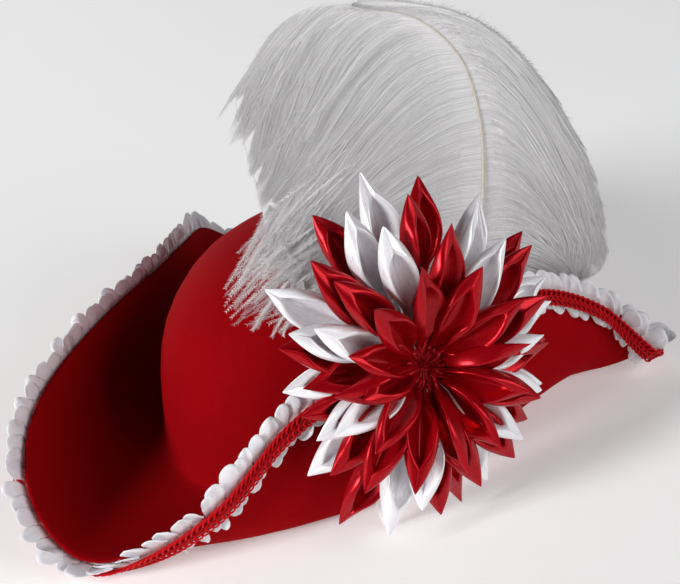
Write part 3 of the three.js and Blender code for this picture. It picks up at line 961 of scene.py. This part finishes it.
def folded_petal(bm, around, spread, roll, root, reach, width, height, lift, vary):
    """One petal folded from ribbon: a pointed leaf with rolled rims round an oval hollow"""
    turn = math.radians(around)
    radial = np.array([-math.sin(turn), math.cos(turn), 0])
    tilt = math.radians(spread)
    along = radial * math.sin(tilt) + UP * math.cos(tilt)
    level = np.cross(UP, radial)
    raised = np.cross(along, level)
    lean = math.radians(roll)
    across = level * math.cos(lean) + raised * math.sin(lean)
    face = raised * math.cos(lean) - level * math.sin(lean)
    length = reach - root
    tail = max(0, 1 - PETAL_BODY * (1 + PETAL_STRAY["body"] * vary[4]) / length)
    mouth = PETAL_MOUTH + PETAL_STRAY["mouth"] * vary[0]
    twist = PETAL_STRAY["twist"] * vary[1]
    bend = PETAL_STRAY["bend"] * vary[2]
    sway = PETAL_STRAY["sway"] * vary[3]
    uneven = PETAL_STRAY["rims"] * vary[4]

    def shape(x, y):
        place = np.interp(y, [0, PETAL_TAIL, 1], [0, tail, 1])
        gathered = np.interp(y, [0, PETAL_TAIL], [PETAL_GATHER, 1])
        y = np.clip((y - PETAL_TAIL) / (1 - PETAL_TAIL), 0, 1)
        outline = np.interp(y, *np.transpose(PETAL_OUTLINE)) * width / 2
        oval = np.sqrt(np.clip(1 - ((y - mouth + 0.06) / mouth) ** 2, 0, 1))
        crest = np.maximum(CREST_WIDTH * oval, CREST_LEAST)
        hollow = smooth_step(0.05, 0.5, oval)
        column = np.abs(x) / CREST_AT
        inner, outer = np.clip(column, 0, 1), np.clip(column - 1, 0, 1)
        bulge = np.interp(outer, RIM_PLACES, RIM_OUT)
        side = np.sign(x) * np.where(column < 1, crest * inner, crest + (1 - crest) * bulge)
        rims = height * gathered * np.interp(y, *np.transpose(PETAL_RIMS))
        rims = rims * (1 + uneven * np.sign(x))
        outside = np.interp(outer, RIM_PLACES, RIM_HEIGHT)
        rise = rims * np.where(column < 1, 1 - hollow * (1 - inner**1.8), outside) - PETAL_FLOOR
        rise = rise + bend * (y**2 - 0.3 * y)
        shift = side * outline
        angle = twist * y
        sideways = shift * np.cos(angle) - rise * np.sin(angle) + sway * y**2
        forward = shift * np.sin(angle) + rise * np.cos(angle)
        points = (
            radial * root
            + along * (length * place)[:, None]
            - across * sideways[:, None]
            + face * forward[:, None]
            + UP * lift
        )
        return FlowerFrame.placed(points)

    grid_sheet(bm, *PETAL_GRID, shape)


class TRICORN_OT_flower(bpy.types.Operator):
    """Ribbon flower on the left flap: its backing, rows of folded petals and gathered middle"""

    bl_idname = "tricorn.flower"
    bl_label = "Ribbon flower"

    def execute(self, context):
        settings = context.scene.tricorn.flower
        finishes = {
            "red_satin": satin_finish("red_satin", settings.red, RED_ROUGHNESS, RED_GLOSS),
            "white_satin": satin_finish(
                "white_satin", settings.white, WHITE_ROUGHNESS, WHITE_GLOSS
            ),
        }
        self.backing()
        chance = np.random.default_rng(SEEDS["flower"])
        for i, row in enumerate(PETAL_ROWS):
            node, finish_name, count, turn, spread, share, width, roll = row
            bm = bmesh.new()
            root = INNER_ROOT if node == "petals_red_inner" else PETAL_ROOT
            lift = PAD_FRONT + HUB_STEP * (i + 1)
            for k in range(count):
                vary = draws(chance, 8, PETAL_LIMIT)
                around = turn + (k + PETAL_STRAY["around"] * vary[5]) * 360 / count
                folded_petal(
                    bm, around, spread + PETAL_STRAY["spread"] * vary[6],
                    roll + PETAL_STRAY["roll"] * vary[7], root, share * petal_reach(around),
                    width, settings.rim / MM, lift, vary,
                )
            name = node.replace("petals", "folded")
            piece = add_piece(name, mesh_of(bm, name), finishes[finish_name], finish_name, node)
            wall(piece, settings.thickness)
            soften(piece, 1)
        # The middle's satin: the red darkened, as painted shade for the flower's deep middle
        shaded = satin_finish(
            "gathered_satin", scaled(settings.red, HEART_SHADE), HEART_ROUGHNESS, RED_GLOSS
        )
        self.heart(shaded, finishes["red_satin"], chance)
        return {"FINISHED"}

    def backing(self):
        """The felt disc that the petals are sewn to"""
        bm = bmesh.new()
        bmesh.ops.create_circle(bm, cap_ends=True, radius=PAD_RADIUS, segments=32)
        disc = bmesh.ops.extrude_face_region(bm, geom=bm.faces[:])
        raised = [item for item in disc["geom"] if isinstance(item, bmesh.types.BMVert)]
        bmesh.ops.translate(bm, verts=raised, vec=(0, 0, PAD_FRONT - PAD_BACK))
        bmesh.ops.recalc_face_normals(bm, faces=bm.faces)
        rims = [edge for edge in bm.edges if len({round(vert.co.z, 3) for vert in edge.verts}) == 1]
        bmesh.ops.bevel(
            bm, geom=rims, offset=PAD_BEVEL, affect="EDGES", segments=3, profile=0.5, material=-1
        )
        for vert in bm.verts:
            point = np.array(vert.co) + UP * PAD_BACK
            vert.co = placed(FlowerFrame.placed(point))
        felt = bpy.data.materials.get("felt")
        add_piece("flower_backing", mesh_of(bm, "flower_backing"), felt, "red_felt", "flower_pad")

    def heart(self, gathered, satin, chance):
        """The gathered middle, in red satin darkened as painted shade, with frayed thread ends"""
        top = PAD_FRONT + HUB_STEP * (len(PETAL_ROWS) - 1)
        bm = bmesh.new()

        def pleats(x, y):
            angle = x * math.pi
            reach = HEART_REACH * np.sin(y * math.pi / 2)
            pleat = np.cos(angle * HEART_PLEATS + 1.5 * np.sin(angle * 3)) * np.sin(y * math.pi)
            rise = top + HEART_RISE * np.cos(y * math.pi / 2) + PLEAT_HEIGHT * pleat
            rise = rise - HEART_DIMPLE * np.exp(-((y / 0.3) ** 2))
            points = np.stack([-reach * np.sin(angle), reach * np.cos(angle), rise], axis=-1)
            return FlowerFrame.placed(points)

        grid_sheet(bm, *HEART_GRID, pleats)
        bmesh.ops.remove_doubles(bm, verts=bm.verts, dist=HEART_WELD)
        bmesh.ops.recalc_face_normals(bm, faces=bm.faces)
        mesh = mesh_of(bm, "gathered_heart")
        # gathered carries the darkened satin: painted shade on the middle
        piece = add_piece("gathered_heart", mesh, gathered, "red_satin", "flower_centre")
        wall(piece, HEART_THICKNESS)
        each = (THREADS, 1, 3)
        s = np.linspace(0, 1, THREAD_POINTS)[None, :, None]
        spread = chance.normal(0, 1, each) * [THREAD_SPREAD, THREAD_SPREAD, 0]
        ends = spread * 1.7 + [0, 0, top + THREAD_RISE] + chance.normal(0, 1.4, each)
        start = spread * 0.6 + [0, 0, top - 1.5]
        kink = chance.normal(0, 1.6, each) * np.sin(s * math.pi)
        threads = FlowerFrame.placed(start + (ends - start) * s + kink)
        parts = [swept_cords(threads, THREAD_RADIUS, CORD_SIDES, THREAD_ROLL)]
        add_piece("frayed_threads", joined_mesh("frayed_threads", parts), satin, "red_satin")


quill_curve = curve_through(QUILL_PATH, False)
PLUME_FRONT = facing(PLUME_TURN, PLUME_RISE)


def barb_reach(side, share):
    """How far along a barb the close part of the plume goes before its loose ends"""
    return np.interp(share, *np.transpose(CLOSE_REACH[side]))


def barb_points(side, share, s):
    """Points on the barbs of a side: share up the barbed quill, s from it to a barb's end"""
    share, s = np.broadcast_arrays(share, s)
    table = np.array(BARB_ENDS[side], float)
    ends = curve_through(table[:, :3], False)(np.clip(share, 0, 1))
    arch = np.interp(share, np.linspace(0, 1, len(table)), table[:, 3])
    root = quill_curve(FIRST_BARB + (1 - FIRST_BARB) * np.clip(share, 0, 1))
    root = root - BACKING_DEPTH * PLUME_FRONT
    middle = (root + ends) / 2 + 2 * arch[..., None] * UP
    s = s[..., None]
    return (1 - s) ** 2 * root + 2 * s * (1 - s) * middle + s**2 * ends


def root_lift(s):
    """How far forward the roots of the barbs come to meet the quill"""
    return ROOT_LIFT * np.exp(-s / ROOT_FADE)


def flat_strands(paths, width, reference):
    """Points and faces of flat tapering strands along paths (strand, step, place)"""
    forward = unit(np.gradient(paths, axis=1))
    side = unit(np.cross(forward, reference)) * (width / 2)
    points = np.stack([paths - side, paths + side], axis=2)
    index = np.arange(points[..., 0].size).reshape(points.shape[:3])
    a, b = index[:, :-1], index[:, 1:]
    faces = np.stack([a[..., 0], a[..., 1], b[..., 1], b[..., 0]], axis=-1)
    return points.reshape(-1, 3), faces.reshape(-1, 4)


class TRICORN_OT_plume(bpy.types.Operator):
    """Feather behind the left flap: its shaft, its vane and the barbs that droop to both sides"""

    bl_idname = "tricorn.plume"
    bl_label = "Plume"

    def execute(self, context):
        settings = context.scene.tricorn.plume
        self.shaft(settings)
        vane = plume_finish("vane", settings.colour, True)
        strand = plume_finish("barbs", settings.colour, False)
        chance = np.random.default_rng(SEEDS["plume"])
        for side, turn in (("left", 1), ("right", -1)):
            self.vane(side, turn, vane)
            self.barbs(side, settings, strand, chance, settings.strands, 1)
        # The loose barbs' finish is the barbs' colour made lighter: painted light against the shade
        # that falls among them
        wisps_painted_light = plume_finish("wisps", scaled(settings.colour, 1.2), False)
        self.wisps(settings, wisps_painted_light, chance)
        for side in ("left", "right"):
            self.barbs(side, settings, strand, chance, settings.back_strands, -1)
        return {"FINISHED"}

    def shaft(self, settings):
        """The tapering quill"""
        share = np.linspace(0, 1, QUILL_STATIONS)
        path = quill_curve(share)[None]
        radius = np.interp(share, *np.transpose(QUILL_RADII))[None]
        mesh = joined_mesh("shaft", [swept_cords(path, radius, QUILL_SIDES, PLUME_FRONT)])
        add_piece("feather_shaft", mesh, horn_finish(settings.quill), "quill", "plume_quill")

    def vane(self, side, turn, material):
        """The close sheet of barbs nearest the quill"""
        bm = bmesh.new()

        def sheet(x, y):
            share = (x * turn + 1) / 2
            wave = VANE_WAVE * np.sin(share * 61 + 3 * np.sin(y * 4)) * y + root_lift(y)
            points = barb_points(side, share, y * barb_reach(side, share))
            return points + wave[:, None] * PLUME_FRONT

        grid_sheet(bm, *VANE_GRID, sheet)
        name = f"feather_vane_{side}"
        nodes = ("plume_barbs",) if side == "left" else ()
        piece = add_piece(name, mesh_of(bm, name), material, "plume", *nodes)
        wall(piece, VANE_THICKNESS)
        soften(piece, 1)

    def barbs(self, side, settings, material, chance, count, face):
        """Single barbs over the vane's front or back, drawn into locks at their ends"""
        sweep, curl, off_vane = BARB_SWEEP[side], BARB_CURL[side], OFF_VANE[face]
        each = (count, 1)
        share = chance.uniform(0, 1 + sweep, each)
        s = np.linspace(0, 1, BARB_POINTS)[None]
        swept = np.clip(share - sweep * smooth_step(0, 0.6, share) * s**curl, 0, 1)
        lock = np.floor(swept * settings.locks)
        bend = chance.normal(0, LOCK_BEND, settings.locks + 1)[lock.astype(int)]
        drawn = ((lock + 0.5) / settings.locks - swept) * LOCK_PULL
        swept = np.clip(swept + (drawn + bend) * s**2, 0, 1)
        stray = sum(
            extra * np.exp(-(((share - place) / width) ** 2))
            for extra, place, width in STRAY_LOCKS
        )
        reach = (0.92 + 0.09 * chance.random(each) + stray) * barb_reach(side, swept)
        paths = barb_points(side, swept, s * reach)
        arch = chance.normal(0, 1, each) * np.sin(s * math.pi * 0.7) * 0.4
        lift = face * (arch + off_vane) + root_lift(s)
        waves = chance.uniform(3, 9, each)
        wave = np.sin(s * waves + chance.uniform(0, TURN, each)) * s * 0.5
        paths = paths + (lift + wave)[..., None] * PLUME_FRONT
        reference = PLUME_FRONT + 0.15 * chance.normal(size=(count, 1, 3))
        width = settings.strand / MM * np.interp(s, [0, 0.7, 1], [1, 0.8, 0.15])[..., None]
        tones = [np.repeat(chance.random(each), 2 * BARB_POINTS)]
        parts = [flat_strands(paths, width, reference)]

        share = chance.uniform(0, 1, each)
        s = chance.uniform(0.03, 0.95, each) * barb_reach(side, share)
        root = barb_points(side, share, s)
        forward = unit(barb_points(side, np.clip(share - 0.012, 0, 1), s + 0.03) - root)
        aside = unit(np.cross(forward, PLUME_FRONT))
        angle = chance.normal(0, 0.5, (count, 1, 1))
        length = chance.uniform(*HAIR_LENGTHS, (count, 1, 1))
        start = root + face * (off_vane - 0.1) * PLUME_FRONT
        way = np.cos(angle) * forward + np.sin(angle) * aside + face * 0.12 * PLUME_FRONT
        hairs = np.concatenate([start, start + length * way], axis=1)
        parts.append(flat_strands(hairs, HAIR_WIDTHS, PLUME_FRONT))
        tones.append(np.repeat(chance.random(each), 2 * hairs.shape[1]))
        name = f"feather_barbs_{side}" if face > 0 else f"feather_back_{side}"
        add_piece(name, joined_mesh(name, parts, np.concatenate(tones)), material, "plume")

    def wisps(self, settings, material, chance):
        """Loose barbs that fall over the crown, fringed on both sides with short barbules"""
        count, steps = settings.wisps, WISP_POINTS
        each = (count, 1)
        share = chance.uniform(0, WISP_SHARE, each)
        s = np.linspace(0, 1, steps)[None]
        start = barb_reach("left", share) * chance.uniform(0.55, 0.9, each)
        end = chance.uniform(0.82, 1.08, each)
        swept = share - WISP_SWEEP * smooth_step(0, 0.6, share) * s ** BARB_CURL["left"]
        swept = swept + chance.normal(0, 0.06, each) * s**1.8
        paths = barb_points("left", np.clip(swept, 0, 1), start + (end - start) * s)
        lift = 1.0 + chance.uniform(-0.5, 2.5, each) * s
        lift = lift + 0.6 * np.sin(s * 6 + TURN * chance.random(each))
        paths = paths + lift[..., None] * PLUME_FRONT
        facing_out = PLUME_FRONT + 0.4 * chance.normal(size=(count, 1, 3))
        taper = np.interp(s, [0, 0.6, 1], [1, 0.8, 0.2])[..., None]
        parts = [flat_strands(paths, settings.strand / MM * taper, facing_out)]
        forward = unit(np.gradient(paths, axis=1))
        aside = unit(np.cross(forward, facing_out))
        fringe = (0.15 + 0.85 * smooth_step(0.1, 0.6, s))[..., None]
        hairs_face = np.repeat(facing_out, steps, axis=1).reshape(-1, 1, 3)
        every = (count, steps, 1)
        for side in (-1, 1, -1, 1):
            angle = chance.uniform(0.4, 1.0, every)
            length = settings.barbule / MM * chance.uniform(0.5, 1.2, every)
            length = length * (0.35 + 0.65 * taper) * fringe
            tips = paths + length * (np.cos(angle) * forward + side * np.sin(angle) * aside)
            tips = tips + 0.5 * chance.normal(size=every) * PLUME_FRONT
            hairs = np.stack([paths, tips], axis=2).reshape(-1, 2, 3)
            parts.append(flat_strands(hairs, BARBULE_WIDTHS, hairs_face))
        tones = chance.random(sum(len(points) for points, faces in parts)) * 0.4 + 0.5
        add_piece("feather_wisps", joined_mesh("feather_wisps", parts, tones), material, "plume")


class TRICORN_OT_stage(bpy.types.Operator):
    """Pale floor, soft studio light and the camera"""

    bl_idname = "tricorn.stage"
    bl_label = "Stage"

    def execute(self, context):
        settings = context.scene.tricorn.stage
        self.floor(settings)
        middle = Vector(HEAD_CENTRE) + Vector((0, 0, LIT_HEIGHT))
        for name, (azimuth, rise, size) in LIGHTS.items():
            self.softbox(name, middle, azimuth, rise, size, getattr(settings, name))
        world = context.scene.world or bpy.data.worlds.new("sky")
        context.scene.world = world
        world.use_nodes = True
        sky = world.node_tree.nodes["Background"]
        sky.inputs["Color"].default_value = (1, 1, 1, 1)
        sky.inputs["Strength"].default_value = settings.sky
        context.scene.view_settings.view_transform = "Standard"
        self.camera(context, settings)
        return {"FINISHED"}

    def floor(self, settings):
        """A wide pale floor that glows a little"""
        bm = bmesh.new()
        bmesh.ops.create_grid(bm, x_segments=1, y_segments=1, size=FLOOR_SIZE)
        floor = bpy.data.objects.new("floor", mesh_of(bm, "floor"))
        bpy.context.collection.objects.link(floor)

        def dress(shade):
            grain = shade.noise(shade.coordinates(), 60, 3)
            return {"Roughness": 0.75 + grain * 0.15}

        material = finish(
            "floor", dress, Base_Color=(*settings.floor, 1),
            Emission_Color=(1, 1, 1, 1), Emission_Strength=settings.glow,
        )
        floor.data.materials.append(material)

    def softbox(self, name, middle, azimuth, rise, size, power):
        """A round soft light that faces the middle of the hat"""
        light = bpy.data.lights.new(name, "AREA")
        light.shape, light.size, light.energy = "DISK", size, power
        lamp = bpy.data.objects.new(name, light)
        direction = Vector(facing(azimuth - 90, rise))
        lamp.location = middle + LIGHT_DISTANCE * direction
        lamp.rotation_mode = "QUATERNION"
        lamp.rotation_quaternion = (-direction).to_track_quat("-Z", "Y")
        bpy.context.collection.objects.link(lamp)

    def camera(self, context, settings):
        """The camera, rolled about its view"""
        data = bpy.data.cameras.new("camera")
        data.lens = settings.lens
        data.sensor_width = SENSOR_WIDTH
        camera = bpy.data.objects.new("camera", data)
        camera.location = placed(CAMERA_AT)
        view = Vector(placed(CAMERA_LOOKS_AT)) - camera.location
        camera.rotation_mode = "QUATERNION"
        roll = Quaternion((0, 0, 1), -settings.roll)
        camera.rotation_quaternion = view.to_track_quat("-Z", "Y") @ roll
        bpy.context.collection.objects.link(camera)
        context.scene.camera = camera


STEPS = (
    TRICORN_OT_felt,
    TRICORN_OT_ruffle,
    TRICORN_OT_braid,
    TRICORN_OT_flower,
    TRICORN_OT_plume,
    TRICORN_OT_stage,
)


class TRICORN_PT_panel(bpy.types.Panel):
    bl_idname = "TRICORN_PT_panel"
    bl_label = "Tricorn hat"
    bl_space_type = "VIEW_3D"
    bl_region_type = "UI"
    bl_category = "Tricorn"

    def draw(self, context):
        for step in STEPS:
            self.layout.operator(step.bl_idname)
        for group in ("felt", "trim", "flower", "plume", "stage"):
            box = self.layout.box()
            box.label(text=group.title())
            settings = getattr(context.scene.tricorn, group)
            for name in settings.__annotations__:
                box.prop(settings, name)


CLASSES = (
    FeltSettings,
    TrimSettings,
    FlowerSettings,
    PlumeSettings,
    StageSettings,
    TricornSettings,
    *STEPS,
    TRICORN_PT_panel,
)


def register():
    for item in CLASSES:
        bpy.utils.register_class(item)
    bpy.types.Scene.tricorn = PointerProperty(type=TricornSettings)


def unregister():
    del bpy.types.Scene.tricorn
    for item in reversed(CLASSES):
        bpy.utils.unregister_class(item)


def main():
    register()
    bpy.ops.tricorn.felt()
    bpy.ops.tricorn.ruffle()
    bpy.ops.tricorn.braid()
    bpy.ops.tricorn.flower()
    bpy.ops.tricorn.plume()
    bpy.ops.tricorn.stage()


if __name__ == "__main__":
    main()
